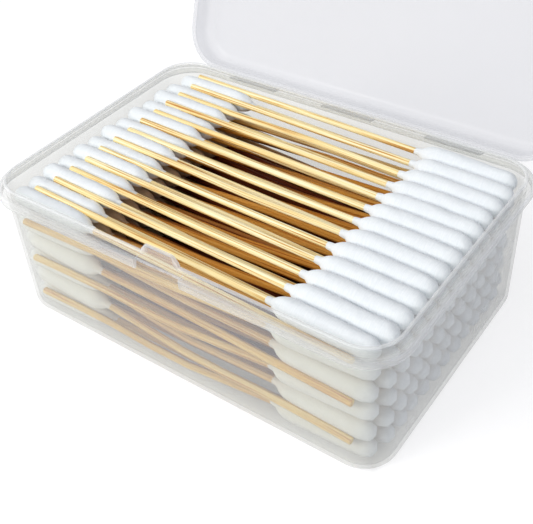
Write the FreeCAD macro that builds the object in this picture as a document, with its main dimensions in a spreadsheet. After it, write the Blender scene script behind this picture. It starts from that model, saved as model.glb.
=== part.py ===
import FreeCAD, Part
import math
import os

import Sketcher
from FreeCAD import Placement, Rotation, Vector

os.makedirs("parts", exist_ok=True)

# Hinged storage box of cotton swabs, lid standing open.
# +X runs along the long side and the swabs, -Y is the front with the latch tab, +Z is up.
# The origin is the centre of the underside, where the box stands.
# The swabs lie in layers. Each layer has a row with its heads at the left end and a row
# with its heads at the right end, and each row's sticks pass between the other's heads.

document = FreeCAD.newDocument("cotton_swab_box")

# Driving dimensions, in millimetres and degrees
sheet = document.addObject("Spreadsheet::Sheet", "dims")
DIMENSIONS = [
    # tub
    ("inner_length", 166.2, "clear length inside the walls"),
    ("inner_width", 111.7, "clear width inside the walls"),
    ("box_height", 60.0, "underside to the top of the lip"),
    ("wall", 1.2, "side wall and lip"),
    ("floor_wall", 1.3, "floor"),
    ("corner_round", 12.0, "inside corner of the walls, seen from above"),
    ("bottom_round", 4.0, "outer edge between floor and walls"),
    ("floor_round", 2.8, "inner edge between floor and walls"),
    # rim
    ("lip_height", 2.5, "lip above the flange"),
    ("flange_reach", 2.7, "flange beyond the wall"),
    ("flange_wall", 1.2, "flange thickness"),
    ("flange_round", 16.0, "outer corner of both rims"),
    ("skirt_wall", 1.0, "turned-down edge of the flange"),
    ("skirt_depth", 4.0, "turned-down edge, from the flange top"),
    # latch
    ("latch_gap", 19.5, "gap in the skirt below the tab"),
    ("latch_ledge", 1.3, "flange left standing in that gap"),
    ("tab_foot", 16.0, "tab width at the lip"),
    ("tab_top", 12.0, "tab width at its top"),
    ("tab_height", 3.9, "tab above the lip"),
    # lid
    ("lid_depth", 10.6, "inside depth of the lid"),
    ("lid_wall", 1.1, "lid side wall"),
    ("lid_panel", 1.2, "lid top panel"),
    ("lid_clearance", 0.6, "between lip and lid wall"),
    ("lid_seat_gap", 0.3, "between flange and closed lid"),
    ("lid_round", 4.5, "outer edge between panel and lid wall"),
    ("lid_inner_round", 3.4, "inner edge between panel and lid wall"),
    ("pull_width", 18.5, "finger pull on the lid's front edge"),
    ("pull_depth", 5.3, "finger pull below the lid rim"),
    ("pull_wall", 1.1, "finger pull thickness"),
    ("lid_angle", 108.0, "opening of the lid from closed"),
    # living hinge
    ("hinge_reach", 0.8, "hinge line behind the flange edge"),
    ("hinge_drop", 3.1, "hinge line below the flange top"),
    ("strap_width", 24.0, "width of each strap"),
    ("strap_pitch", 48.0, "middle of one strap to the next"),
    ("strap_wall", 0.6, "strap thickness"),
    ("hinge_bead", 0.7, "diameter of the folding bead"),
    ("hinge_gap", 0.25, "base strap to folding bead"),
    # swabs
    ("swab_length", 152.0, "tip of the cotton to the bare end"),
    ("head_diameter", 8.1, "cotton head"),
    ("head_length", 39.5, "cotton head without its neck"),
    ("shoulder_length", 3.0, "rounded inner end of the head"),
    ("neck_length", 2.5, "thin cotton on the stick"),
    ("neck_diameter", 3.6, "neck at the shoulder"),
    ("neck_end_diameter", 2.7, "neck where it ends"),
    ("stick_diameter", 2.3, "bamboo stick"),
    ("stick_inset", 5.0, "tip of the cotton to the stick inside"),
    # packing
    ("tip_gap", 1.3, "cotton tip to the end wall"),
    ("head_gap", 0.15, "least gap between heads of a row"),
    ("crossing_gap", 0.2, "least gap between a head and a stick"),
    ("stick_wall_gap", 0.6, "outermost stick to the side wall"),
    ("head_room", 1.5, "top heads below the lip, at least"),
    ("zigzag", 1.0, "lift of every second head in the top left row"),
    ("tip_scatter", 0.7, "how unevenly the tips line up"),
]
for row_number, (alias, size, meaning) in enumerate(DIMENSIONS, start=1):
    sheet.set(f"A{row_number}", meaning)
    sheet.set(f"B{row_number}", str(size))
    sheet.setAlias(f"B{row_number}", alias)
document.recompute()


def size_of(alias):
    """Value of one driving dimension."""
    return float(sheet.get(alias))


def bound(formula):
    """Formula with each dimension's name turned into a reference to its cell."""
    words = []
    for word in formula.replace("(", " ( ").replace(")", " ) ").split():
        words.append(f"dims.{word}" if word[0].isalpha() else word)
    return " ".join(words)


def value_of(formula):
    """Number that a formula of driving dimensions gives now."""
    return float(sheet.evalExpression(bound(formula)))


# Two heights closer than this are the same
SAME_PLACE = 1e-4

# Steps of this ratio scatter evenly, and the same way each time
GOLDEN_RATIO = (math.sqrt(5) - 1) / 2

# Places that more than one piece uses
LIP_LENGTH = "inner_length + 2 * wall"
LIP_WIDTH = "inner_width + 2 * wall"
RIM_LENGTH = "inner_length + 2 * ( wall + flange_reach )"
RIM_WIDTH = "inner_width + 2 * ( wall + flange_reach )"
LIP_ROUND = "corner_round + wall"
FLANGE_TOP = "box_height - lip_height"
HINGE_Y = "inner_width / 2 + wall + flange_reach + hinge_reach"
HINGE_Z = "box_height - lip_height - hinge_drop"
LID_RIM = "hinge_drop + lid_seat_gap"


def new_sketch(body, name, plane, lift, shift):
    """Sketch on one of the body's own origin planes, lifted off it and shifted across it."""
    sketch = body.newObject("Sketcher::SketchObject", name)
    support = [f for f in body.Origin.OriginFeatures if f.Role == plane][0]
    sketch.AttachmentSupport = [(support, "")]
    sketch.MapMode = "FlatFace"
    sketch.setExpression("AttachmentOffset.Base.z", bound(lift))
    sketch.setExpression("AttachmentOffset.Base.y", bound(shift))
    return sketch


def bind(sketch, constraint, formula):
    """Add a measured constraint and tie it to its formula."""
    index = sketch.addConstraint(constraint)
    sketch.setExpression(f"Constraints[{index}]", bound(formula))


def add_rounded_rectangle(sketch, length, width, corner):
    """Rectangle with four round corners, centred on the sketch's origin."""
    first = sketch.GeometryCount
    half_x = value_of(length) / 2
    half_y = value_of(width) / 2
    radius = value_of(corner)
    turn = math.pi / 2
    for quarter, (sx, sy) in enumerate([(-1, -1), (1, -1), (1, 1), (-1, 1)]):
        centre = Vector(sx * (half_x - radius), sy * (half_y - radius), 0)
        circle = Part.Circle(centre, Vector(0, 0, 1), radius)
        start = math.pi + quarter * turn
        sketch.addGeometry(Part.ArcOfCircle(circle, start, start + turn), False)
    for quarter in range(4):
        arc_end = sketch.Geometry[first + quarter].EndPoint
        next_start = sketch.Geometry[first + (quarter + 1) % 4].StartPoint
        sketch.addGeometry(Part.LineSegment(arc_end, next_start), False)
    for quarter in range(4):
        arc = first + quarter
        line = first + 4 + quarter
        following = first + (quarter + 1) % 4
        sketch.addConstraint(Sketcher.Constraint("Tangent", arc, 2, line, 1))
        sketch.addConstraint(Sketcher.Constraint("Tangent", line, 2, following, 1))
        direction = "Horizontal" if quarter % 2 == 0 else "Vertical"
        sketch.addConstraint(Sketcher.Constraint(direction, line))
    for quarter in range(1, 4):
        sketch.addConstraint(Sketcher.Constraint("Equal", first, first + quarter))
    sketch.addConstraint(Sketcher.Constraint("Symmetric", first, 3, first + 2, 3, -1, 1))
    bottom, right, top, left = range(first + 4, first + 8)
    across = Sketcher.Constraint("DistanceX", left, 1, right, 1, 2 * half_x)
    bind(sketch, across, length)
    along = Sketcher.Constraint("DistanceY", bottom, 1, top, 1, 2 * half_y)
    bind(sketch, along, width)
    bind(sketch, Sketcher.Constraint("Radius", first, radius), corner)


def add_outline(sketch, corners):
    """Closed outline of straight lines through corners given as pairs of formulas."""
    first = sketch.GeometryCount
    places = [Vector(value_of(x), value_of(y), 0) for x, y in corners]
    count = len(places)
    for index in range(count):
        sketch.addGeometry(Part.LineSegment(places[index], places[(index + 1) % count]), False)
    for index, (x, y) in enumerate(corners):
        line = first + index
        following = first + (index + 1) % count
        sketch.addConstraint(Sketcher.Constraint("Coincident", line, 2, following, 1))
        bind(sketch, Sketcher.Constraint("DistanceX", -1, 1, line, 1, places[index].x), x)
        bind(sketch, Sketcher.Constraint("DistanceY", -1, 1, line, 1, places[index].y), y)


def grow(body, kind, name, sketch, length):
    """Pad or pocket of a sketch, by a formula's length."""
    feature = body.newObject(kind, name)
    feature.Profile = sketch
    feature.setExpression("Length", bound(length))
    document.recompute()
    return feature


def round_flat_edges(body, name, base, radius, height):
    """Fillet every edge that lies flat at one height."""
    level = value_of(height)
    chosen = []
    for number, edge in enumerate(base.Shape.Edges, start=1):
        box = edge.BoundBox
        if abs(box.ZMin - level) < SAME_PLACE and abs(box.ZMax - level) < SAME_PLACE:
            chosen.append(f"Edge{number}")
    fillet = body.newObject("PartDesign::Fillet", name)
    fillet.Base = (base, chosen)
    fillet.setExpression("Radius", bound(radius))
    document.recompute()
    return fillet


def repeat_straps(body, name, features):
    """Three hinge straps at equal steps along X, from the first one on the left."""
    pattern = body.newObject("PartDesign::LinearPattern", name)
    pattern.Originals = features
    long_axis = [f for f in body.Origin.OriginFeatures if f.Role == "X_Axis"][0]
    pattern.Direction = (long_axis, [""])
    pattern.setExpression("Length", bound("2 * strap_pitch"))
    pattern.Occurrences = 3
    body.Tip = pattern
    document.recompute()


# Tub: walls, floor, rim with its turned-down skirt, latch tab and the base half of the straps
def make_box_base():
    body = document.addObject("PartDesign::Body", "box_base")
    body.Label = "box_base"

    sketch = new_sketch(body, "tub_outline", "XY_Plane", "0", "0")
    add_rounded_rectangle(sketch, LIP_LENGTH, LIP_WIDTH, LIP_ROUND)
    grow(body, "PartDesign::Pad", "tub", sketch, "box_height")

    sketch = new_sketch(body, "hollow_outline", "XY_Plane", "box_height", "0")
    add_rounded_rectangle(sketch, "inner_length", "inner_width", "corner_round")
    hollow = grow(body, "PartDesign::Pocket", "hollow", sketch, "box_height - floor_wall")
    hollow = round_flat_edges(body, "floor_edge", hollow, "floor_round", "floor_wall")
    round_flat_edges(body, "bottom_edge", hollow, "bottom_round", "0")

    flange_bottom = f"{FLANGE_TOP} - flange_wall"
    sketch = new_sketch(body, "flange_outline", "XY_Plane", flange_bottom, "0")
    add_rounded_rectangle(sketch, RIM_LENGTH, RIM_WIDTH, "flange_round")
    add_rounded_rectangle(sketch, "inner_length + wall", "inner_width + wall",
                          "corner_round + wall / 2")
    grow(body, "PartDesign::Pad", "flange", sketch, "flange_wall")

    skirt_bottom = f"{FLANGE_TOP} - skirt_depth"
    sketch = new_sketch(body, "skirt_outline", "XY_Plane", skirt_bottom, "0")
    add_rounded_rectangle(sketch, RIM_LENGTH, RIM_WIDTH, "flange_round")
    add_rounded_rectangle(sketch, f"{RIM_LENGTH} - 2 * skirt_wall",
                          f"{RIM_WIDTH} - 2 * skirt_wall", "flange_round - skirt_wall")
    grow(body, "PartDesign::Pad", "skirt", sketch, "skirt_depth")

    # The skirt is open below the tab, and only a narrow ledge of the flange stays there
    ledge_y = f"0 - ( {LIP_WIDTH} ) / 2 - latch_ledge"
    beyond_y = f"0 - ( {RIM_WIDTH} ) / 2 - wall"
    sketch = new_sketch(body, "latch_gap_outline", "XY_Plane", FLANGE_TOP, "0")
    add_outline(sketch, [
        ("0 - latch_gap / 2", beyond_y),
        ("latch_gap / 2", beyond_y),
        ("latch_gap / 2", ledge_y),
        ("0 - latch_gap / 2", ledge_y),
    ])
    grow(body, "PartDesign::Pocket", "latch_gap", sketch, "skirt_depth")

    # The tab is the lip raised, with sloping sides. Its sketch faces the front.
    tab_top_z = "box_height + tab_height"
    sketch = new_sketch(body, "tab_outline", "XZ_Plane", "inner_width / 2", "0")
    add_outline(sketch, [
        ("0 - tab_foot / 2", FLANGE_TOP),
        ("tab_foot / 2", FLANGE_TOP),
        ("tab_foot / 2", "box_height + tab_height / 3"),
        ("tab_top / 2", tab_top_z),
        ("0 - tab_top / 2", tab_top_z),
        ("0 - tab_foot / 2", "box_height + tab_height / 3"),
    ])
    grow(body, "PartDesign::Pad", "latch_tab", sketch, "wall")

    # Base half of the straps: flat tongues that end just before the folding bead
    strap_bottom = f"{HINGE_Z} - strap_wall / 2"
    sketch = new_sketch(body, "base_strap_outline", "XY_Plane", strap_bottom, "0")
    inside_skirt_y = f"( {RIM_WIDTH} ) / 2 - skirt_wall / 2"
    tongue_end_y = f"{HINGE_Y} - hinge_bead / 2 - hinge_gap"
    add_outline(sketch, [
        ("0 - strap_pitch - strap_width / 2", inside_skirt_y),
        ("strap_width / 2 - strap_pitch", inside_skirt_y),
        ("strap_width / 2 - strap_pitch", tongue_end_y),
        ("0 - strap_pitch - strap_width / 2", tongue_end_y),
    ])
    strap = grow(body, "PartDesign::Pad", "base_strap", sketch, "strap_wall")
    repeat_straps(body, "base_straps", [strap])
    return body


# Lid: a shallow tray, modelled closed with the hinge line as its own X axis, then swung open
def make_box_lid():
    body = document.addObject("PartDesign::Body", "box_lid")
    body.Label = "box_lid"
    to_middle = f"0 - ( {HINGE_Y} )"
    lid_inner_length = f"{LIP_LENGTH} + 2 * lid_clearance"
    lid_inner_width = f"{LIP_WIDTH} + 2 * lid_clearance"
    lid_inner_corner = f"{LIP_ROUND} + lid_clearance"

    sketch = new_sketch(body, "lid_outline", "XY_Plane", LID_RIM, to_middle)
    add_rounded_rectangle(sketch, f"{lid_inner_length} + 2 * lid_wall",
                          f"{lid_inner_width} + 2 * lid_wall",
                          f"{lid_inner_corner} + lid_wall")
    grow(body, "PartDesign::Pad", "lid_block", sketch, "lid_depth + lid_panel")

    sketch = new_sketch(body, "lid_hollow_outline", "XY_Plane", LID_RIM, to_middle)
    add_rounded_rectangle(sketch, lid_inner_length, lid_inner_width, lid_inner_corner)
    hollow = body.newObject("PartDesign::Pocket", "lid_hollow")
    hollow.Profile = sketch
    hollow.Reversed = True
    hollow.setExpression("Length", bound("lid_depth"))
    document.recompute()
    hollow = round_flat_edges(body, "lid_inner_edge", hollow, "lid_inner_round",
                              f"{LID_RIM} + lid_depth")
    round_flat_edges(body, "lid_edge", hollow, "lid_round",
                     f"{LID_RIM} + lid_depth + lid_panel")

    sketch = new_sketch(body, "lid_rim_outline", "XY_Plane", LID_RIM, to_middle)
    add_rounded_rectangle(sketch, RIM_LENGTH, RIM_WIDTH, "flange_round")
    add_rounded_rectangle(sketch, f"{lid_inner_length} + lid_wall",
                          f"{lid_inner_width} + lid_wall",
                          f"{lid_inner_corner} + lid_wall / 2")
    grow(body, "PartDesign::Pad", "lid_rim", sketch, "flange_wall")

    # Finger pull: a tongue that hangs in the skirt's gap when the lid is closed
    front_y = f"0 - ( {RIM_WIDTH} ) / 2"
    pull_bottom = f"{LID_RIM} - pull_depth"
    sketch = new_sketch(body, "pull_outline", "XY_Plane", pull_bottom, to_middle)
    add_outline(sketch, [
        ("0 - pull_width / 2", front_y),
        ("pull_width / 2", front_y),
        ("pull_width / 2", f"{front_y} + pull_wall"),
        ("0 - pull_width / 2", f"{front_y} + pull_wall"),
    ])
    grow(body, "PartDesign::Pad", "finger_pull", sketch, "pull_depth + flange_wall")

    # Lid half of the straps: an angle that stands on the folding bead and joins the lid rim
    half = "strap_wall / 2"
    sketch = new_sketch(body, "lid_strap_outline", "YZ_Plane",
                        "0 - strap_pitch - strap_width / 2", "0")
    add_outline(sketch, [
        (f"0 - {half}", "0"),
        (half, "0"),
        (half, f"{LID_RIM} + strap_wall"),
        ("0 - hinge_reach - strap_wall", f"{LID_RIM} + strap_wall"),
        ("0 - hinge_reach - strap_wall", LID_RIM),
        (f"0 - {half}", LID_RIM),
    ])
    strap = grow(body, "PartDesign::Pad", "lid_strap", sketch, "strap_width")
    sketch = new_sketch(body, "bead_outline", "YZ_Plane",
                        "0 - strap_pitch - strap_width / 2", "0")
    bead_radius = value_of("hinge_bead / 2")
    sketch.addGeometry(Part.Circle(Vector(0, 0, 0), Vector(0, 0, 1), bead_radius), False)
    sketch.addConstraint(Sketcher.Constraint("Coincident", 0, 3, -1, 1))
    bind(sketch, Sketcher.Constraint("Radius", 0, bead_radius), "hinge_bead / 2")
    bead = grow(body, "PartDesign::Pad", "folding_bead", sketch, "strap_width")
    repeat_straps(body, "lid_straps", [strap, bead])

    body.Placement = Placement(Vector(0, 0, 0), Rotation(Vector(-1, 0, 0), 1))
    body.setExpression("Placement.Base.y", bound(HINGE_Y))
    body.setExpression("Placement.Base.z", bound(HINGE_Z))
    body.setExpression("Placement.Rotation.Angle", bound("lid_angle"))
    return body


# One cotton head, tip at its own origin, stick towards -X, bored for the stick
def make_head_pattern():
    body = document.addObject("PartDesign::Body", "head_pattern")
    body.Label = "head_pattern"
    sketch = new_sketch(body, "head_profile", "XY_Plane", "0", "0")
    radius = value_of("head_diameter / 2")
    dome = Part.Circle(Vector(-radius, 0, 0), Vector(0, 0, 1), radius)
    # The shoulder bulges past the straight cone from the head down to the neck
    bulge = "( head_diameter + neck_diameter ) / 4 + shoulder_length / 6"
    sketch.addGeometry(Part.ArcOfCircle(dome, 0, math.pi / 2), False)
    corners = [
        ("0 - head_diameter / 2", "head_diameter / 2"),
        ("shoulder_length - head_length", "head_diameter / 2"),
        ("shoulder_length / 3 - head_length", bulge),
        ("0 - head_length", "neck_diameter / 2"),
        ("0 - head_length - neck_length", "neck_end_diameter / 2"),
        ("0 - head_length - neck_length", "stick_diameter / 2"),
        ("0 - stick_inset", "stick_diameter / 2"),
        ("0 - stick_inset", "0"),
        ("0", "0"),
    ]
    places = [Vector(value_of(x), value_of(y), 0) for x, y in corners]
    for start, end in zip(places, places[1:]):
        sketch.addGeometry(Part.LineSegment(start, end), False)
    last = sketch.GeometryCount - 1
    for line in range(1, last):
        sketch.addConstraint(Sketcher.Constraint("Coincident", line, 2, line + 1, 1))
    for line, (x, y) in enumerate(corners[:-1], start=1):
        bind(sketch, Sketcher.Constraint("DistanceX", -1, 1, line, 1, places[line - 1].x), x)
        bind(sketch, Sketcher.Constraint("DistanceY", -1, 1, line, 1, places[line - 1].y), y)
    sketch.addConstraint(Sketcher.Constraint("Coincident", last, 2, -1, 1))
    sketch.addConstraint(Sketcher.Constraint("Coincident", 0, 1, last, 2))
    sketch.addConstraint(Sketcher.Constraint("Coincident", 0, 2, 1, 1))
    sketch.addConstraint(Sketcher.Constraint("PointOnObject", 0, 3, -1))
    head = body.newObject("PartDesign::Revolution", "head")
    head.Profile = sketch
    head.ReferenceAxis = (sketch, ["H_Axis"])
    head.Angle = 360
    document.recompute()
    return body


# One bamboo stick along the same axis, from inside the head to its bare end
def make_stick_pattern():
    body = document.addObject("PartDesign::Body", "stick_pattern")
    body.Label = "stick_pattern"
    sketch = new_sketch(body, "stick_profile", "YZ_Plane", "0 - swab_length", "0")
    radius = value_of("stick_diameter / 2")
    sketch.addGeometry(Part.Circle(Vector(0, 0, 0), Vector(0, 0, 1), radius), False)
    sketch.addConstraint(Sketcher.Constraint("Coincident", 0, 3, -1, 1))
    bind(sketch, Sketcher.Constraint("Radius", 0, radius), "stick_diameter / 2")
    grow(body, "PartDesign::Pad", "stick", sketch, "swab_length - stick_inset")
    return body


def packing():
    """How the swabs lie: counts, steps between them and the turn that shifts half a step."""
    stick_radius = size_of("stick_diameter") / 2
    head_radius = size_of("head_diameter") / 2
    end_x = size_of("inner_length") / 2 - size_of("tip_gap")
    head_middle_x = end_x - size_of("head_length") / 2
    bare_end_x = size_of("swab_length") - end_x

    # Seen from above, a swab shifts half a step between the middles of the two head blocks,
    # and a little more at its bare end, where the outermost stick must still clear the wall.
    shift_at_bare_end = (head_middle_x + bare_end_x) / (2 * head_middle_x)
    outermost_stick_y = size_of("inner_width") / 2 - size_of("stick_wall_gap") - stick_radius
    least_step = size_of("head_diameter") + size_of("head_gap")
    across = 2
    while 2 * outermost_stick_y / (across + shift_at_bare_end) >= least_step:
        across += 1
    step = 2 * outermost_stick_y / (across - 1 + shift_at_bare_end)

    # A right-hand row lies above the left-hand row of its layer, its sticks in the valleys.
    # The next layer is turned the other way, so there heads and sticks cross.
    crossing = head_radius + stick_radius + size_of("crossing_gap")
    rise = math.sqrt(max(crossing ** 2 - (step / 2) ** 2, 0))
    layer_step = max(rise + crossing, least_step)
    first_z = size_of("floor_wall") + head_radius + size_of("head_gap")
    top_z = size_of("box_height") - size_of("head_room") - head_radius
    room = top_z - first_z - rise - size_of("zigzag")
    layers = 1 + int(room / layer_step)
    return {
        "across": across,
        "layers": layers,
        "step": step,
        "rise": rise,
        "layer_step": layer_step,
        "first_y": -step * (across - 1) / 2,
        "first_z": first_z,
        "end_x": end_x,
        "turn": math.atan(step / 2 / (2 * head_middle_x)),
        "head_middle_x": head_middle_x,
    }


def corner_setback(pack):
    """How far the outermost swabs stay back, because the walls are round at the corners."""
    head_radius = size_of("head_diameter") / 2
    corner = size_of("corner_round")
    corner_x = size_of("inner_length") / 2 - corner
    corner_y = size_of("inner_width") / 2 - corner
    tip_y = abs(pack["first_y"]) + size_of("head_length") / 2 * math.tan(pack["turn"])
    sideways = max(tip_y - corner_y, 0)
    reach = corner - head_radius - size_of("crossing_gap")
    deepest_tip_x = corner_x + math.sqrt(max(reach ** 2 - sideways ** 2, 0)) + head_radius
    return max(pack["end_x"] - deepest_tip_x, 0)


def swab_places(pack, layer, side):
    """Placements of one row: side is -1 for heads at the left end and 1 for the right end."""
    top_layer = layer == pack["layers"] - 1
    # Layers are turned in turn, counted from the top one
    lean = 1 if (pack["layers"] - 1 - layer) % 2 == 0 else -1
    z = pack["first_z"] + layer * pack["layer_step"]
    if side > 0:
        z += pack["rise"]
        z += size_of("zigzag") if top_layer else 0
    setback = corner_setback(pack)
    places = []
    for column in range(pack["across"]):
        y = pack["first_y"] + column * pack["step"]
        outermost = column in (0, pack["across"] - 1)
        draw = column + pack["across"] * (2 * layer + max(side, 0))
        scatter = (GOLDEN_RATIO * draw) % 1 * size_of("tip_scatter")
        back = max(setback, scatter) if outermost else scatter
        lift = size_of("zigzag") if top_layer and side < 0 and column % 2 == 0 else 0
        # The turn leaves the head's middle in place and shifts the tip and the bare end
        turn = -lean * pack["turn"]
        tip_x = side * (pack["end_x"] - back)
        tip_y = y + (tip_x - side * pack["head_middle_x"]) * math.tan(turn)
        heading = math.degrees(turn) + (180 if side < 0 else 0)
        rotation = Rotation(Vector(0, 0, 1), heading)
        places.append(Placement(Vector(tip_x, tip_y, z + lift), rotation))
    return places


def make_row(label, pattern, places):
    """One row as a group of separate solids, all copies of one pattern piece."""
    copies = []
    for place in places:
        copy = pattern.Tip.Shape.copy()
        copy.Placement = place.multiply(copy.Placement)
        copies.append(copy)
    row = document.addObject("Part::Feature", label)
    row.Label = label
    row.Shape = Part.makeCompound(copies)
    return row


def make_swab_rows():
    head_pattern = make_head_pattern()
    stick_pattern = make_stick_pattern()
    pack = packing()
    rows = []
    for layer in range(pack["layers"]):
        for side, end in ((-1, "left"), (1, "right")):
            places = swab_places(pack, layer, side)
            number = layer + 1
            rows.append(make_row(f"cotton_heads_{end}_{number}", head_pattern, places))
            rows.append(make_row(f"bamboo_sticks_{end}_{number}", stick_pattern, places))
    steps = f"step {pack['step']:.3f}, layer step {pack['layer_step']:.3f}"
    print(f"{pack['across']} swabs across, {pack['layers']} layers, {steps}")
    return rows


box_base = make_box_base()
box_lid = make_box_lid()
pieces = [box_base, box_lid] + make_swab_rows()
document.recompute()

for item in document.Objects:
    if "Invalid" in item.State or "Error" in item.State:
        raise RuntimeError(f"{item.Label} could not be made: {item.State}")
for piece in pieces:
    if piece.Shape.isNull() or not piece.Shape.isValid():
        raise RuntimeError(f"{piece.Label} has no valid shape")
for piece in pieces:
    box = piece.Shape.BoundBox
    solids = len(piece.Shape.Solids)
    extent = f"x {box.XMin:.2f} {box.XMax:.2f} y {box.YMin:.2f} {box.YMax:.2f}"
    print(f"{piece.Label}: {solids} solids, {extent} z {box.ZMin:.2f} {box.ZMax:.2f}")
    piece.Shape.exportStep(f"parts/{piece.Label}.step")
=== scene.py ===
# %% [markdown]
# # A hinged box of cotton swabs
#
# The box is one moulding of polypropylene: a tub, a lid and three thin straps between them.
# It is full of long swabs, each a bamboo stick with cotton wound round one end.
# The frame gives the true sizes and places. This lesson dresses it: every surface is a
# function of two parameters, worked out as whole numpy arrays.

# %% Load the frame
import math

import bmesh
import bpy
import numpy as np
from mathutils import Matrix, Vector


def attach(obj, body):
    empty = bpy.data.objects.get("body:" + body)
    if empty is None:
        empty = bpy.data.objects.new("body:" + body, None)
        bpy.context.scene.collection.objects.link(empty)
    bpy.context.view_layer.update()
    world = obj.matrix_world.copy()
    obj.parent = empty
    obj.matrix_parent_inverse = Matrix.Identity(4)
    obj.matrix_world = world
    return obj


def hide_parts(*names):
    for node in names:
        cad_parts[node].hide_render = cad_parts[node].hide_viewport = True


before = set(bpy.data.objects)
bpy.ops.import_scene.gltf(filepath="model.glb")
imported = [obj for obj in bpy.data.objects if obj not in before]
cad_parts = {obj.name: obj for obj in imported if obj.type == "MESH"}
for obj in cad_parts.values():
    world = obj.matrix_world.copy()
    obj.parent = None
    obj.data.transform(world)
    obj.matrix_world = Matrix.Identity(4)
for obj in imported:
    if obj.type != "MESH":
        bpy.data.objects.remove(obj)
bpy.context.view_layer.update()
MM = 0.001

# %% [markdown]
# ## The camera
#
# The photo looks down on the box from its front right. The lens and the place were fitted to
# the rims and corners of the box, so they stand here as real angles and one distance.
# Azimuth turns the camera round the box, elevation lifts it, and roll tips the picture.

# %% Camera
PHOTO_WIDTH = 533
SENSOR_WIDTH = 36.0
FOCAL_PIXELS = 870.0
AZIMUTH = math.radians(37.81)
ELEVATION = math.radians(40.48)
ROLL = math.radians(-3.82)
DISTANCE = 330.0 * MM
AIM = Vector((8.5, -10.6, 29.0)) * MM


def camera_axes(azimuth, elevation, roll):
    """Right, up and forward: forward points down at the box, right is level, then both others
    turn about forward by the roll."""
    forward = Vector((-math.sin(azimuth) * math.cos(elevation),
                      math.cos(azimuth) * math.cos(elevation),
                      -math.sin(elevation)))
    level = forward.cross(Vector((0, 0, 1))).normalized()
    upright = level.cross(forward)
    right = level * math.cos(roll) + upright * math.sin(roll)
    up = upright * math.cos(roll) - level * math.sin(roll)
    return right, up, forward


right, up, forward = camera_axes(AZIMUTH, ELEVATION, ROLL)
camera_data = bpy.data.cameras.new("photo_camera")
camera_data.sensor_width = SENSOR_WIDTH
camera_data.lens = FOCAL_PIXELS / PHOTO_WIDTH * SENSOR_WIDTH
camera_data.clip_start = 0.01
camera = bpy.data.objects.new("photo_camera", camera_data)
turn = Matrix((right, up, -forward)).transposed()
camera.matrix_world = Matrix.Translation(AIM - forward * DISTANCE) @ turn.to_4x4()
bpy.context.scene.collection.objects.link(camera)
bpy.context.scene.camera = camera
print("lens", round(camera_data.lens, 2), "mm")

# %% [markdown]
# ## Two small tools
#
# Colours are written as the sRGB hex values that a paint program shows, and Blender's shaders
# want linear light, so one function turns them. The other adds a node with its settings,
# values and links in one call. Every material below is built with these two.

# %% Colour and node helpers


def linear(hex_colour):
    """sRGB hex to linear light: each channel over 255, then c / 12.92 when it is small and
    ((c + 0.055) / 1.055) to the power 2.4 otherwise."""
    channels = np.array([int(hex_colour[i:i + 2], 16) for i in (1, 3, 5)]) / 255
    curved = ((channels + 0.055) / 1.055) ** 2.4
    return (*np.where(channels <= 0.04045, channels / 12.92, curved), 1.0)


def add_node(tree, kind, values=None, links=None, **settings):
    """Adds a node: settings are its properties, values its sockets' own values, and links the
    outputs that feed its sockets."""
    node = tree.nodes.new(kind)
    for name, setting in settings.items():
        setattr(node, name, setting)
    for socket, value in (values or {}).items():
        node.inputs[socket].default_value = value
    for socket, source in (links or {}).items():
        tree.links.new(source, node.inputs[socket])
    return node


def new_material(name):
    """An empty material and its node tree, with only the output left in it."""
    material = bpy.data.materials.new(name)
    material.use_nodes = True
    tree = material.node_tree
    tree.nodes.clear()
    return material, tree, tree.nodes.new("ShaderNodeOutputMaterial")


def seen_directly(tree):
    """1 for rays from the camera, through clear plastic and off shiny edges, otherwise 0."""
    path = add_node(tree, "ShaderNodeLightPath")
    either = add_node(tree, "ShaderNodeMath", operation="MAXIMUM", links={
        0: path.outputs["Is Camera Ray"], 1: path.outputs["Is Transmission Ray"]})
    return add_node(tree, "ShaderNodeMath", operation="MAXIMUM", links={
        0: either.outputs[0], 1: path.outputs["Is Glossy Ray"]}).outputs[0]


print("middle grey #808080 in linear light:", round(linear("#808080")[0], 3))

# %% [markdown]
# ## Light, floor and background
#
# The photo has a white surround and even, soft light from the front left, with the right-hand
# wall a little darker and cooler. One large, slightly warm lamp gives that direction. A lamp
# from above and a bluish one at each side open the shadows, and the world fills the rest.
# The floor and the world are white only where the camera, the clear plastic or a shiny edge
# sees them, so the white surround adds no light to the box. That white is a glow added to the
# paper, which keeps its shadows. It is weaker under the tub, where hardly any light gets, and
# full far away, where the lamps no longer reach.

# %% World and lamps
WORLD_LIGHT = 0.38
LAMPS = [
    # name, place in metres, side in metres, watts, colour
    ("key_lamp", (-0.55, -1.05, 0.80), 0.60, 12.2, "#fffdf8"),
    ("top_lamp", (0.05, -0.55, 1.20), 0.80, 3.0, "#ffffff"),
    ("side_lamp", (1.30, -0.25, 0.38), 0.60, 4.5, "#eef0ff"),
    ("left_lamp", (-1.25, -0.15, 0.60), 0.60, 3.2, "#f4f2ff"),
]
scene = bpy.context.scene
scene.view_settings.view_transform = "Standard"

world = bpy.data.worlds.new("white_surround")
scene.world = world
world.use_nodes = True
sky = world.node_tree
sky.nodes.clear()
fill_light = add_node(sky, "ShaderNodeBackground",
                      values={"Color": linear("#f8faff"), "Strength": WORLD_LIGHT})
white_view = add_node(sky, "ShaderNodeBackground",
                      values={"Color": linear("#ffffff"), "Strength": 1.0})
choice = add_node(sky, "ShaderNodeMixShader", links={
    0: seen_directly(sky), 1: fill_light.outputs[0], 2: white_view.outputs[0]})
add_node(sky, "ShaderNodeOutputWorld", links={"Surface": choice.outputs[0]})

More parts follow.
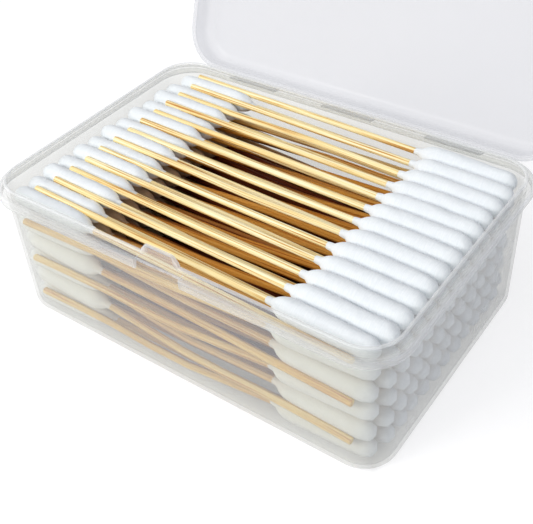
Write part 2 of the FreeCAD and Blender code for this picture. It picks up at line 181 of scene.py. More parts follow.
for name, place, side, watts, colour in LAMPS:
    lamp = bpy.data.lights.new(name, "AREA")
    lamp.size = side
    lamp.energy = watts
    lamp.color = linear(colour)[:3]
    holder = bpy.data.objects.new(name, lamp)
    toward_box = AIM - Vector(place)
    holder.matrix_world = (Matrix.Translation(place)
                           @ toward_box.to_track_quat("-Z", "Y").to_matrix().to_4x4())
    holder.visible_camera = False
    scene.collection.objects.link(holder)
print("lamps", len(LAMPS), "with", sum(row[3] for row in LAMPS), "W")

# %% Floor
FLOOR_HALF = 4.0            # metres
FLOOR_SINK = 0.05 * MM      # keeps paper and tub from sharing one plane
FLOOR_GLOW = 0.70
PAINTED_SHADOW_UNDER_BOX = 0.38            # painted shadow: share of the glow that is left under the tub
COVERED = (78.0, 50.0)      # mm, half the size of the part that the tub covers
COVERED_EDGE = 4.0          # mm, half the width of its soft edge
FAR_START = 0.55            # metres from the middle, where the glow starts to grow
FAR_END = 1.1
floor_material, tree, output = new_material("white_paper_floor")
paper = add_node(tree, "ShaderNodeBsdfDiffuse", values={"Color": linear("#e9e9ea")})
shade = add_node(tree, "ShaderNodeBsdfDiffuse", values={"Color": linear("#a8a8aa")})
place = add_node(tree, "ShaderNodeTexCoord").outputs["Object"]
floor_axes = add_node(tree, "ShaderNodeSeparateXYZ", links={0: place}).outputs
# painted shadow under the tub: the glow falls to the share left under it, with a soft edge
outside = []
for axis, half in zip("XY", COVERED):
    off_middle = add_node(tree, "ShaderNodeMath", operation="ABSOLUTE",
                          links={0: floor_axes[axis]})
    outside.append(add_node(tree, "ShaderNodeMapRange", links={"Value": off_middle.outputs[0]},
                            values={"From Min": (half - COVERED_EDGE) * MM,
                                    "From Max": (half + COVERED_EDGE) * MM,
                                    "To Min": FLOOR_GLOW * PAINTED_SHADOW_UNDER_BOX, "To Max": FLOOR_GLOW}))
near_glow = add_node(tree, "ShaderNodeMath", operation="MAXIMUM", links={
    0: outside[0].outputs[0], 1: outside[1].outputs[0]})
distance = add_node(tree, "ShaderNodeVectorMath", operation="LENGTH", links={0: place})
far_glow = add_node(tree, "ShaderNodeMapRange", links={"Value": distance.outputs["Value"]},
                    values={"From Min": FAR_START, "From Max": FAR_END,
                            "To Min": 0.0, "To Max": 1.0 - FLOOR_GLOW})
strength = add_node(tree, "ShaderNodeMath", operation="ADD", links={
    0: near_glow.outputs[0], 1: far_glow.outputs[0]})
glow = add_node(tree, "ShaderNodeEmission", values={"Color": linear("#ffffff")},
                links={"Strength": strength.outputs[0]})
lifted = add_node(tree, "ShaderNodeAddShader", links={0: shade.outputs[0], 1: glow.outputs[0]})
choice = add_node(tree, "ShaderNodeMixShader", links={
    0: seen_directly(tree), 1: paper.outputs[0], 2: lifted.outputs[0]})
tree.links.new(choice.outputs[0], output.inputs["Surface"])
floor_mesh = bpy.data.meshes.new("floor")
corners = np.array([(-1, -1), (1, -1), (1, 1), (-1, 1)]) * FLOOR_HALF
floor_mesh.from_pydata([(x, y, -FLOOR_SINK) for x, y in corners], [], [(0, 1, 2, 3)])
floor_mesh.materials.append(floor_material)
floor = bpy.data.objects.new("floor", floor_mesh)
scene.collection.objects.link(floor)
print("floor", 2 * FLOOR_HALF, "m square")

# %% [markdown]
# ## Polypropylene
#
# The box is natural polypropylene, injection moulded in a tool with a fine spark-eroded
# finish. A thin wall lets most light through and scatters the rest, which makes it look milky.
# Rough glass would keep the lamps' light out of the box, because a path tracer hardly finds a
# lamp through it. So the wall is two finishes mixed: a clear film that light crosses
# straight, and a milky surface. The milk's share grows where the wall turns away from the eye,
# which then looks through more plastic. On moulded edges and straps a painted glow makes the
# milk whiter and more solid, standing for light that ran along inside the wall and comes out.

# %% Polypropylene material
FROST_GRAIN = 0.9 * MM      # the real grain is 0.05 mm, too fine to show
FLOW_MARK = 14 * MM
MILK_FACING = 0.07          # how solid one face of the wall looks straight on
MILK_GRAZING = 0.40         # and along the wall, where light crosses more of it
# the next two are a painted glow on moulded edges and straps: more solid and whiter milk
MILK_ON_PAINTED_GLOW = 0.30            # added where the moulding ends and its inner light leaves
PAINTED_GLOW_WHITE = "#f3f5f7"
PP_ROUGHNESS = 0.24
PP_IOR = 1.49


def moulded_polypropylene(name, film_colour, milk_colours):
    """Milky Principled surface mixed with a clear film. The milk's share grows from facing to
    grazing, and on the moulded edges a painted glow makes it whiter and more solid; a fine grain
    is bump, flow marks vary the gloss."""
    material, tree, output = new_material(name)
    place = add_node(tree, "ShaderNodeTexCoord").outputs["Object"]
    grain = add_node(tree, "ShaderNodeTexNoise", links={"Vector": place},
                     values={"Scale": 1 / FROST_GRAIN, "Detail": 3.0, "Roughness": 0.6})
    flow = add_node(tree, "ShaderNodeTexNoise", links={"Vector": place},
                    values={"Scale": 1 / FLOW_MARK, "Detail": 2.0, "Distortion": 0.6})
    rough = add_node(tree, "ShaderNodeMapRange", links={"Value": flow.outputs[0]}, values={
        "From Min": 0.3, "From Max": 0.7,
        "To Min": PP_ROUGHNESS - 0.04, "To Max": PP_ROUGHNESS + 0.06})
    milk_tone = add_node(tree, "ShaderNodeMix", data_type="RGBA", links={0: flow.outputs[0]},
                         values={6: linear(milk_colours[0]), 7: linear(milk_colours[1])})
    # painted edge glow from the mesh, 0 to 1: it whitens the milk and makes it more solid
    rim = add_node(tree, "ShaderNodeAttribute", attribute_name="painted_edge_glow").outputs["Fac"]
    tint = add_node(tree, "ShaderNodeMix", data_type="RGBA", values={7: linear(PAINTED_GLOW_WHITE)},
                    links={0: rim, 6: milk_tone.outputs[2]})
    bump = add_node(tree, "ShaderNodeBump", links={"Height": grain.outputs[0]},
                    values={"Strength": 0.10, "Distance": 0.05 * MM})
    turned_away = add_node(tree, "ShaderNodeLayerWeight", values={"Blend": 0.35})
    milk = add_node(tree, "ShaderNodeMapRange", links={"Value": turned_away.outputs["Facing"]},
                    values={"To Min": MILK_FACING, "To Max": MILK_GRAZING})
    solid = add_node(tree, "ShaderNodeMath", operation="MULTIPLY_ADD", use_clamp=True,
                     values={1: MILK_ON_PAINTED_GLOW}, links={0: rim, 2: milk.outputs[0]})
    plastic = add_node(tree, "ShaderNodeBsdfPrincipled", values={"IOR": PP_IOR}, links={
        "Base Color": tint.outputs[2], "Roughness": rough.outputs[0],
        "Normal": bump.outputs[0]})
    film = add_node(tree, "ShaderNodeBsdfTransparent", values={"Color": linear(film_colour)})
    both = add_node(tree, "ShaderNodeMixShader", links={
        0: solid.outputs[0], 1: film.outputs[0], 2: plastic.outputs[0]})
    tree.links.new(both.outputs[0], output.inputs["Surface"])
    return material


tub_polypropylene = moulded_polypropylene(
    "polypropylene_frosted_moulded_tub", "#fbfbf9", ("#dcdde1", "#e7e8ea"))
# the lid is the tub's plastic with a greyer film and milk: painted shade that makes it look grey
# against the white
shaded_lid_polypropylene = moulded_polypropylene(
    "polypropylene_frosted_moulded_lid_painted_shade", "#f6f6f7", ("#d6d9de", "#e0e2e6"))
print("milk share", MILK_FACING, "facing,", MILK_GRAZING, "grazing")

# %% [markdown]
# ## Depth in the pile
#
# Light that gets down between the swabs has bounced from stick to stick and turned amber, then
# brown. Tracing it would take more bounces than the render has time for, so both materials
# below are tinted by height instead. Near the long walls light also comes in from the side,
# and there the sticks only turn tan.

# %% Painted shade by depth
PAINTED_SHADE_FADES = [
    # mm above the table where the painted shade starts and is full, its greatest share, and its
    # part
    (50.0, 46.0, 0.9, "middle"),
    (44.5, 40.5, 1.0, "middle"),
    (48.0, 45.0, 0.8, "sides"),
]
SIDE_START = 53.0           # mm from the middle line, where the sides begin to give way
SIDE_END = 38.0


def fade(tree, value, start, end, most=1.0):
    """0 where the value is at start or before it, the greatest share from end on, and a
    straight line between them."""
    return add_node(tree, "ShaderNodeMapRange", links={"Value": value}, values={
        "From Min": start * MM, "From Max": end * MM, "To Min": 0.0, "To Max": most}).outputs[0]


def painted_shade_shares(tree):
    """How much painted shade a place gets by its depth in the pile, amber, brown and tan, each 0
    to 1: the fade by height times the share of the middle, or of the sides, which is 1 minus
    that."""
    place = add_node(tree, "ShaderNodeTexCoord").outputs["Object"]
    axes = add_node(tree, "ShaderNodeSeparateXYZ", links={0: place}).outputs
    off_middle = add_node(tree, "ShaderNodeMath", operation="ABSOLUTE", links={0: axes["Y"]})
    middle = fade(tree, off_middle.outputs[0], SIDE_START, SIDE_END)
    sides = add_node(tree, "ShaderNodeMath", operation="SUBTRACT", values={0: 1.0},
                     links={1: middle}).outputs[0]
    parts = {"middle": middle, "sides": sides}
    return [add_node(tree, "ShaderNodeMath", operation="MULTIPLY", links={
        0: fade(tree, axes["Z"], start, end, most), 1: parts[part]}).outputs[0]
        for start, end, most, part in PAINTED_SHADE_FADES]


print("tints by depth", len(PAINTED_SHADE_FADES))

# %% [markdown]
# ## Cotton
#
# The heads are bleached cotton, wound on the stick as a sliver and rolled firm. The surface
# is matt white with fibres that run round the head at a slant, and light sinks a little way
# in. The pattern follows the head's own map, whose two numbers are millimetres round and
# along it, so the fibres turn with each head. Heads that get their light from the sticks
# beside them look a little warm, and deep in the pile they get a painted brown shade.

# %% Cotton material
FIBRE_WIDTH = 0.30          # mm; a real fibre is 0.015 mm and would not show
FIBRE_LENGTH = 4.0          # mm
FIBRE_SLANT = math.radians(24)
TUFT = 2.2                  # mm
COTTON_SHADE = "#d6dee3"
COTTON_WHITE = "#f9fbfc"
WARMED = "#fffbf1"          # cotton that gets its light from the sticks
PAINTED_BROWN_SHADE = "#dfbe98"         # painted shade on cotton deep inside the pile
WARM_START = 49.0           # mm above the table
WARM_FULL = 44.0
STICKS_START = 80.0         # mm from the middle, where light from the sticks is first felt
STICKS_FULL = 72.0


def wound_cotton():
    """Matt white with slanted fibre streaks and soft tufts, both as bump and faint tone."""
    material, tree, output = new_material("cotton_bleached_wound")
    place = add_node(tree, "ShaderNodeUVMap", uv_map="surface_mm").outputs[0]
    along_fibre = add_node(tree, "ShaderNodeMapping", links={"Vector": place}, values={
        "Rotation": (0, 0, FIBRE_SLANT), "Scale": (1 / FIBRE_LENGTH, 1 / FIBRE_WIDTH, 1)})
    fibres = add_node(tree, "ShaderNodeTexNoise", links={"Vector": along_fibre.outputs[0]},
                      values={"Scale": 1.0, "Detail": 5.0, "Roughness": 0.65})
    tufts = add_node(tree, "ShaderNodeTexNoise", links={"Vector": place},
                     values={"Scale": 1 / TUFT, "Detail": 3.0, "Roughness": 0.55})
    tone = add_node(tree, "ShaderNodeMix", data_type="RGBA", links={0: fibres.outputs[0]},
                    values={6: linear(COTTON_SHADE), 7: linear(COTTON_WHITE)})
    position = add_node(tree, "ShaderNodeTexCoord").outputs["Object"]
    axes = add_node(tree, "ShaderNodeSeparateXYZ", links={0: position}).outputs
    below = fade(tree, axes["Z"], WARM_START, WARM_FULL)
    off_middle = add_node(tree, "ShaderNodeMath", operation="ABSOLUTE", links={0: axes["X"]})
    near_sticks = fade(tree, off_middle.outputs[0], STICKS_START, STICKS_FULL)
    # painted light and shade: warm where light comes from the sticks, brown deep in the pile
    for depth, tint in ((below, WARMED), (painted_shade_shares(tree)[0], PAINTED_BROWN_SHADE)):
        share = add_node(tree, "ShaderNodeMath", operation="MULTIPLY",
                         links={0: depth, 1: near_sticks})
        tone = add_node(tree, "ShaderNodeMix", data_type="RGBA", blend_type="MULTIPLY", links={
            0: share.outputs[0], 6: tone.outputs[2]}, values={7: linear(tint)})
    tuft_bump = add_node(tree, "ShaderNodeBump", links={"Height": tufts.outputs[0]},
                         values={"Strength": 0.75, "Distance": 0.32 * MM})
    bump = add_node(tree, "ShaderNodeBump", values={"Strength": 0.7, "Distance": 0.12 * MM},
                    links={"Height": fibres.outputs[0], "Normal": tuft_bump.outputs[0]})
    cotton = add_node(tree, "ShaderNodeBsdfPrincipled", values={
        "Roughness": 0.95, "Specular IOR Level": 0.2, "Subsurface Weight": 0.25,
        "Subsurface Radius": (1.0, 1.0, 1.0), "Subsurface Scale": 1.2 * MM,
        "Sheen Weight": 0.25, "Sheen Roughness": 0.6},
        links={"Base Color": tone.outputs[2], "Normal": bump.outputs[0]})
    tree.links.new(cotton.outputs[0], output.inputs["Surface"])
    return material


cotton = wound_cotton()
print("cotton fibres", FIBRE_WIDTH, "mm wide")

# %% [markdown]
# ## Bamboo
#
# The sticks are split bamboo, drawn through a round die and tumbled smooth. Long vessels run
# the whole length as thin amber lines on pale straw yellow, and no two sticks have the same
# tone. The map again counts millimetres, each stick starting at another place in the pattern.
# Stretched noise gives the vessels: narrow across the stick and very long along it.

# %% Bamboo material
VESSEL_WIDTH = 0.65         # mm; vessels are about 0.15 mm, drawn coarser
VESSEL_LENGTH = 60.0        # mm
STICK_TONE = 9.0            # mm across the map from one stick's tone to the next
VESSEL_AMBER = "#bd8236"
STRAW = "#f4de9f"
PALE_STRAW = "#fff8d4"
RIPE_STRAW = "#f6dfa8"      # multiplies the tone of the riper sticks
AMBER = "#f0b850"           # these three are painted shade on the sticks by depth, in the order of the fades above
PAINTED_DEEP_BROWN = "#88502f"
PAINTED_WALL_TAN = "#ebd69c"


def drawn_bamboo():
    """Straw yellow with long amber lines; a broad slow pattern shifts the tone per stick."""
    material, tree, output = new_material("bamboo_split_and_drawn")
    place = add_node(tree, "ShaderNodeUVMap", uv_map="surface_mm").outputs[0]
    stretched = add_node(tree, "ShaderNodeMapping", links={"Vector": place}, values={
        "Scale": (1 / VESSEL_WIDTH, 1 / VESSEL_LENGTH, 1)})
    vessels = add_node(tree, "ShaderNodeTexNoise", links={"Vector": stretched.outputs[0]},
                       values={"Scale": 1.0, "Detail": 4.0, "Roughness": 0.6})
    broad = add_node(tree, "ShaderNodeMapping", links={"Vector": place}, values={
        "Scale": (1 / STICK_TONE, 1 / (4 * VESSEL_LENGTH), 1)})
    tone = add_node(tree, "ShaderNodeTexNoise", links={"Vector": broad.outputs[0]},
                    values={"Scale": 1.0, "Detail": 1.0})
    grain = add_node(tree, "ShaderNodeValToRGB", links={"Fac": vessels.outputs[0]})
    ramp = grain.color_ramp
    ramp.elements[0].position = 0.36
    ramp.elements[0].color = linear(VESSEL_AMBER)
    ramp.elements[1].position = 0.60
    ramp.elements[1].color = linear(PALE_STRAW)
    ramp.elements.new(0.46).color = linear(STRAW)
    warm = add_node(tree, "ShaderNodeMapRange", links={"Value": tone.outputs[0]}, values={
        "From Min": 0.35, "From Max": 0.65, "To Min": 0.0, "To Max": 0.45})
    colour = add_node(tree, "ShaderNodeMix", data_type="RGBA", blend_type="MULTIPLY", links={
        0: warm.outputs[0], 6: grain.outputs[0]}, values={7: linear(RIPE_STRAW)})
    # painted shade by depth in the pile: amber, then deep brown, and tan near the long walls
    for share, tint in zip(painted_shade_shares(tree), (AMBER, PAINTED_DEEP_BROWN, PAINTED_WALL_TAN)):
        colour = add_node(tree, "ShaderNodeMix", data_type="RGBA", blend_type="MULTIPLY", links={
            0: share, 6: colour.outputs[2]}, values={7: linear(tint)})
    bump = add_node(tree, "ShaderNodeBump", links={"Height": vessels.outputs[0]},
                    values={"Strength": 0.5, "Distance": 0.08 * MM})
    bamboo = add_node(tree, "ShaderNodeBsdfPrincipled", values={
        "Roughness": 0.5, "Specular IOR Level": 0.35},
        links={"Base Color": colour.outputs[2], "Normal": bump.outputs[0]})
    tree.links.new(bamboo.outputs[0], output.inputs["Surface"])
    return material


bamboo = drawn_bamboo()
print("bamboo vessels", VESSEL_WIDTH, "mm wide")

# %% [markdown]
# ## From arrays to a piece
#
# A piece is a grid of points, four to a face, with its ends closed. Rows that fall on one
# point, as at a pole, are merged afterwards. The volume that the faces enclose tells whether
# they look outwards, and the order of their corners is turned if it comes out negative.

# %% Piece builder
MERGE = 0.0005 * MM


def grid_faces(rows, columns, first=0):
    """Quads between neighbouring rows of a grid whose columns close into a ring."""
    row, column = np.meshgrid(np.arange(rows - 1), np.arange(columns), indexing="ij")
    here = first + row * columns + column
    beside = first + row * columns + (column + 1) % columns
    return np.stack([here, beside, beside + columns, here + columns], axis=-1).reshape(-1, 4)


def enclosed_volume(points, quads):
    """Sum over the faces of the corner vectors' triple product over 6."""
    a, b, c, d = (points[quads[:, k]] for k in range(4))
    twice = np.cross(a, b) + np.cross(b, c) + np.cross(c, d) + np.cross(d, a)
    return (twice * (a + b + c + d) / 4).sum() / 6


def make_piece(name, points, quads, caps, material, body, nodes, maps=None, crease=40,
               edges=None):
    """Mesh from points and faces, cleaned, smoothed below the crease angle, and bound to the
    body and the CAD nodes that it stands for. Caps are whole rings of corners, maps
    hold a place in the pattern for every corner, and edges an edge glow for every point."""
    mesh = bpy.data.meshes.new(name)
    if enclosed_volume(points - points.mean(axis=0), quads) < 0:
        quads = quads[:, ::-1]
        caps = [cap[::-1] for cap in caps]
    mesh.from_pydata(points.tolist(), [], quads.tolist() + [list(cap) for cap in caps])
    # the edge glow is painted light, kept on the points for the plastic's shader
    if edges is not None:
        share = mesh.attributes.new("painted_edge_glow", "FLOAT", "POINT")
        share.data.foreach_set("value", edges.astype(np.float32))
    if maps is not None:
        layer = mesh.uv_layers.new(name="surface_mm")
        corner_maps = np.concatenate([maps, np.zeros((sum(map(len, caps)), 2))])
        layer.data.foreach_set("uv", corner_maps.astype(np.float32).ravel())
    cleaner = bmesh.new()
    cleaner.from_mesh(mesh)
    bmesh.ops.remove_doubles(cleaner, verts=cleaner.verts, dist=MERGE)
    cleaner.to_mesh(mesh)
    cleaner.free()
    mesh.materials.append(material)
    mesh.shade_smooth()
    mesh.set_sharp_from_angle(angle=math.radians(crease))
    piece = bpy.data.objects.new(name, mesh)
    scene.collection.objects.link(piece)
    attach(piece, body)
    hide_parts(*nodes)
    return piece


# %% [markdown]
# ## The moulded profile
#
# A tub like this has one cross-section all the way round: floor, wall, lip, flange and the
# edge turned down from it. So the whole tub is that profile carried along a rounded
# rectangle. A point of the profile is an offset outwards from the inside wall and a height,
# both in millimetres. Extruding and cutting blocks would leave hard edges; here each edge
# gets its small moulded radius in the profile itself.

# %% Sizes of the box, in mm
INNER_HALF_X = 83.1
INNER_HALF_Y = 55.85
CORNER = 12.0
WALL = 1.2
FLOOR = 1.3
HEIGHT = 60.0
FLANGE_TOP = 57.5
FLANGE_WALL = 1.2
REACH = 3.9                 # flange edge beyond the inside wall
SKIRT_WALL = 1.0
SKIRT_BOTTOM = 53.5
CORE = -11.5                # ring where the flat floor starts
TAB_HALF = 8.0
TAB_TOP_HALF = 6.0
TAB_HEIGHT = 3.9
TAB_SHOULDER = 1.3
GAP_HALF = 9.75
LEDGE = 2.5
STRAP_MIDDLES = np.array([-48.0, 0.0, 48.0])
STRAP_HALF = 12.0
STRAP_WALL = 0.6
HINGE_Z = 54.4
SMALL = 0.3                 # radius of the small inner and outer edges
STRAP_GLOW = 1.0            # share of edge glow, where 0 is plain wall
SIDE_GLOW = 0.8             # the cut sides of the skirt's gap and of the finger pull


def arc(centre, radius, start, end, steps=5):
    """Points on a circle: centre plus radius times cosine and sine, from start to end in
    degrees, counted from outwards towards up."""
    angle = np.radians(np.linspace(start, end, steps))
    return np.stack([centre[0] + radius * np.cos(angle),
                     centre[1] + radius * np.sin(angle)], axis=1)


def run(start, end, steps):
    """Evenly spaced points on a straight line between two profile points."""
    share = np.linspace(0, 1, steps)[:, None]
    return np.array(start) * (1 - share) + np.array(end) * share


def joined(*parts):
    """One profile and its edge glow, from pairs of a glow and the points that have it."""
    glow = np.concatenate([np.full(len(points), share) for share, points in parts])
    return np.concatenate([points for _, points in parts]), glow


print("rim", 2 * (INNER_HALF_X + REACH), "by", 2 * (INNER_HALF_Y + REACH), "mm")

# %% Path round the box
def long_side_stops():
    """Places along X: even steps, and close ones wherever the rim changes its shape."""
    tab = [TAB_TOP_HALF * share for share in (0.5, 0.8, 0.9, 0.97)]
    tab += [TAB_HALF - step for step in (2.0, 1.8, 1.5, 1.1, 0.7, 0.4, 0.2, 0.1,
                                         0.03, -0.03, -0.1)]
    gap = [GAP_HALF + step for step in (-0.45, -0.25, -0.13, -0.05, 0, 0.05, 0.2, 0.55)]
    strap_edge = np.array([0, 0.06, 0.15, 0.4, 1.0, 2.0])
    strap = np.concatenate([middle + sign * (STRAP_HALF - strap_edge)
                            for middle in STRAP_MIDDLES for sign in (-1, 1)])
    even = np.linspace(CORNER - INNER_HALF_X, INNER_HALF_X - CORNER, 38)
    stops = np.concatenate([even, tab, -np.array(tab), gap, -np.array(gap), strap])
    return np.unique(np.round(stops, 3))


def rounded_rectangle(corner_steps=18, short_steps=16):
    """Points of the inside wall seen from above, and the outward direction at each: straight
    sides joined by quarter circles, counter-clockwise from the front left."""
    long_x = long_side_stops()
    short_y = np.linspace(CORNER - INNER_HALF_Y, INNER_HALF_Y - CORNER, short_steps)
    points = []
    outward = []
    for side in range(4):
        along = long_x if side % 2 == 0 else short_y
        flat = INNER_HALF_Y if side % 2 == 0 else INNER_HALF_X
        turn = side * math.pi / 2
        line = np.stack([along, np.full(len(along), -flat)], axis=1)
        facing = np.tile([0.0, -1.0], (len(along), 1))
        angle = np.linspace(-math.pi / 2, 0, corner_steps + 2)[1:-1]
        bend = np.stack([np.cos(angle), np.sin(angle)], axis=1)
        corner = np.array([along[-1], CORNER - flat]) + CORNER * bend
        spin = np.array([[math.cos(turn), math.sin(turn)], [-math.sin(turn), math.cos(turn)]])
        points.append(np.concatenate([line, corner]) @ spin)
        outward.append(np.concatenate([facing, bend]) @ spin)
    return np.concatenate(points), np.concatenate(outward)


path, outward = rounded_rectangle()
at_front = outward[:, 1] < -0.999
at_back = outward[:, 1] > 0.999
print("path stations", len(path))


def strap_share():
    """1 along each strap at the back, falling to 0 over its last 0.15 mm."""
    reach = np.abs(path[:, :1] - STRAP_MIDDLES).min(axis=1)
    return np.interp(reach, [STRAP_HALF - 0.15, STRAP_HALF], [1, 0]) * at_back


def with_straps(plain, strapped, glow):
    """Offsets and heights of every station: the plain profile, and along the straps the one
    with a strap drawn out. The edge glow is raised on the straps, which look white."""
    share = strap_share()[:, None]
    offsets = plain[:, 0] * (1 - share) + strapped[:, 0] * share
    heights = plain[:, 1] * (1 - share) + strapped[:, 1] * share
    moved = (plain != strapped).any(axis=1)
    return offsets, heights, np.maximum(glow, STRAP_GLOW * share * moved)


def carry(offsets, heights):
    """Points of the sweep: inside wall plus outward times offset, at the height. Offsets and
    heights have one row for each station of the path and one column for each profile point."""
    flat = path[:, None, :] + outward[:, None, :] * offsets[:, :, None]
    return np.concatenate([flat, heights[:, :, None]], axis=2) * MM


# %% [markdown]
# ## The tub
#
# Three features break the even sweep. The latch tab is the lip drawn up at the front, the
# skirt is left out below it, and at the back the skirt carries the hinge straps. Each is
# worked out as a share from 0 to 1 along the path that moves some profile points.

# %% Tub profile
STRAP_REACH = 4.1           # end of the tub's half of a strap, just short of the fold
EDGE = 0.4                  # radius of the lip and flange edges
FLOOR_ROUND = 2.8
BOTTOM_ROUND = 4.0
PLAIN_WALL = 50             # height that the wall is plain up to


def tub_profile():
    """Profile from the inside floor over the lip and skirt to the underside, the same with a
    strap drawn out of the skirt, and the edge glow: full on the lip, less on the flange."""
    skirt_face = run((REACH, FLANGE_TOP - 2.2), (REACH, SKIRT_BOTTOM + 0.4), 8)
    over = HINGE_Z + STRAP_WALL / 2
    under = HINGE_Z - STRAP_WALL / 2
    strap_face = np.array([(REACH, over + 0.4), (REACH, over + 0.05), (REACH + 0.05, over),
                           (STRAP_REACH - 0.06, over), (STRAP_REACH, over - 0.06),
                           (STRAP_REACH, under + 0.06), (STRAP_REACH - 0.06, under),
                           (REACH, under)])
    ceiling = FLANGE_TOP - FLANGE_WALL
    before = [
        (0, [(CORE, FLOOR)]),
        (0, arc((-FLOOR_ROUND, FLOOR + FLOOR_ROUND), FLOOR_ROUND, -90, 0, 7)),
        (0, run((0, 12), (0, HEIGHT - 2.3), 7)),
        (0.2, [(0, HEIGHT - 0.8)]),
        (1, arc((EDGE, HEIGHT - EDGE), EDGE, 180, 90)),
        (1, arc((WALL - EDGE, HEIGHT - EDGE), EDGE, 90, 0)),
        (0.2, [(WALL, HEIGHT - 0.8)]),
        (0.15, arc((WALL + EDGE, FLANGE_TOP + EDGE), EDGE, 180, 270)),
        (0.6, arc((REACH - EDGE, FLANGE_TOP - EDGE), EDGE, 90, 0)),
    ]
    after = [
        (0.7, arc((REACH - SMALL, SKIRT_BOTTOM + SMALL), SMALL, 0, -90, 4)),
        (0.7, arc((REACH - SKIRT_WALL + SMALL, SKIRT_BOTTOM + SMALL), SMALL, -90, -180, 4)),
        (0, arc((REACH - SKIRT_WALL - SMALL, ceiling - SMALL), SMALL, 0, 90, 4)),
        (0, arc((WALL + SMALL, ceiling - SMALL), SMALL, 90, 180, 4)),
        (0, run((WALL, PLAIN_WALL), (WALL, 8), 7)),
        (0, arc((WALL - BOTTOM_ROUND, BOTTOM_ROUND), BOTTOM_ROUND, 0, -90, 8)),
        (0, [(CORE, 0)]),
    ]
    plain, glow = joined(*before, (0.1, skirt_face), *after)
    strapped, _ = joined(*before, (0.1, strap_face), *after)
    return plain, strapped, glow


def tab_lift():
    """Height added to the lip: a step at the tab's foot, then sloping sides and a flat top."""
    reach = np.abs(path[:, 0])
    places = [TAB_TOP_HALF - 0.6, TAB_TOP_HALF, TAB_TOP_HALF + 0.4,
              TAB_HALF - 0.3, TAB_HALF - 0.03, TAB_HALF + 0.03]
    lifts = [TAB_HEIGHT, TAB_HEIGHT - 0.25, TAB_HEIGHT - 0.7, TAB_SHOULDER + 0.3, 0.9, 0]
    return np.interp(reach, places, lifts) * at_front


def tub_points():
    """The carried profile with the strap, gap and tab shares applied in turn, and the edge
    glow of every point. The cut sides of the gap and the tab get their glow here."""
    plain, strapped, glow = tub_profile()
    offsets, heights, edges = with_straps(plain, strapped, glow)
    rim = (plain[:, 0] > WALL + 0.01) & (plain[:, 1] > PLAIN_WALL)
    gap = np.interp(np.abs(path[:, 0]), [GAP_HALF - 0.05, GAP_HALF], [1, 0]) * at_front
    gap = gap[:, None] * rim
    offsets = offsets + gap * (np.minimum(offsets, LEDGE) - offsets)
    heights = heights + gap * (np.maximum(heights, FLANGE_TOP - FLANGE_WALL) - heights)
    lip = (plain[:, 0] <= WALL + 0.01) & (plain[:, 1] > FLANGE_TOP + 1)
    heights = heights + tab_lift()[:, None] * lip
    reach = np.abs(path[:, 0])
    tab_edge = [TAB_TOP_HALF - 0.4, TAB_TOP_HALF + 0.1, TAB_HALF, TAB_HALF + 0.2]
    tab_side = np.interp(reach, tab_edge, [0, 1, 1, 0]) * at_front
    gap_side = (np.abs(reach - GAP_HALF) < 0.2) * at_front * SIDE_GLOW
    edges = np.maximum(edges, np.maximum(tab_side[:, None] * lip, gap_side[:, None] * rim))
    return carry(offsets, heights), edges


# %% Tub piece
def shell(name, points, edges, material, body, nodes):
    """Closed skin of a sweep: quads round the path, and a flat face over each end ring of the
    profile, which closes the tub's floor or the lid's panel on both sides."""
    stations, count = points.shape[:2]
    turned = points.transpose(1, 0, 2).reshape(-1, 3)
    quads = grid_faces(count, stations)
    first = np.arange(stations)[::-1]
    last = np.arange(stations) + (count - 1) * stations
    return make_piece(name, turned, quads, [first.tolist(), last.tolist()], material,
                      body, nodes, crease=50, edges=edges.T.ravel())


tub = shell("tub_shell", *tub_points(), tub_polypropylene, "base", ["box_base"])
print("tub faces", len(tub.data.polygons))

# %% [markdown]
# ## The lid
#
# The lid is a shallower tray made the same way. Its profile is drawn as if it were shut, with
# heights from the hinge line, and the finished points are swung open about that line, the way
# the real lid swings. Its front edge carries a finger pull and its back edge the other half
# of the straps, with the thin fold at their foot.

# %% Lid profile
HINGE_Y = 60.55
LID_ANGLE = math.radians(108)
LID_RIM = 3.4
LID_INSIDE = 1.8            # lid wall beyond the tub's inside wall
LID_OUTSIDE = 2.9
LID_PANEL = 14.0
LID_TOP = 15.2
LID_INNER_ROUND = 3.4
LID_ROUND = 4.5
PULL_HALF = 9.25
PULL_DEPTH = 5.3
PULL_INSIDE = 2.8
FOLD = HINGE_Y - INNER_HALF_Y
FOLD_RADIUS = 0.35


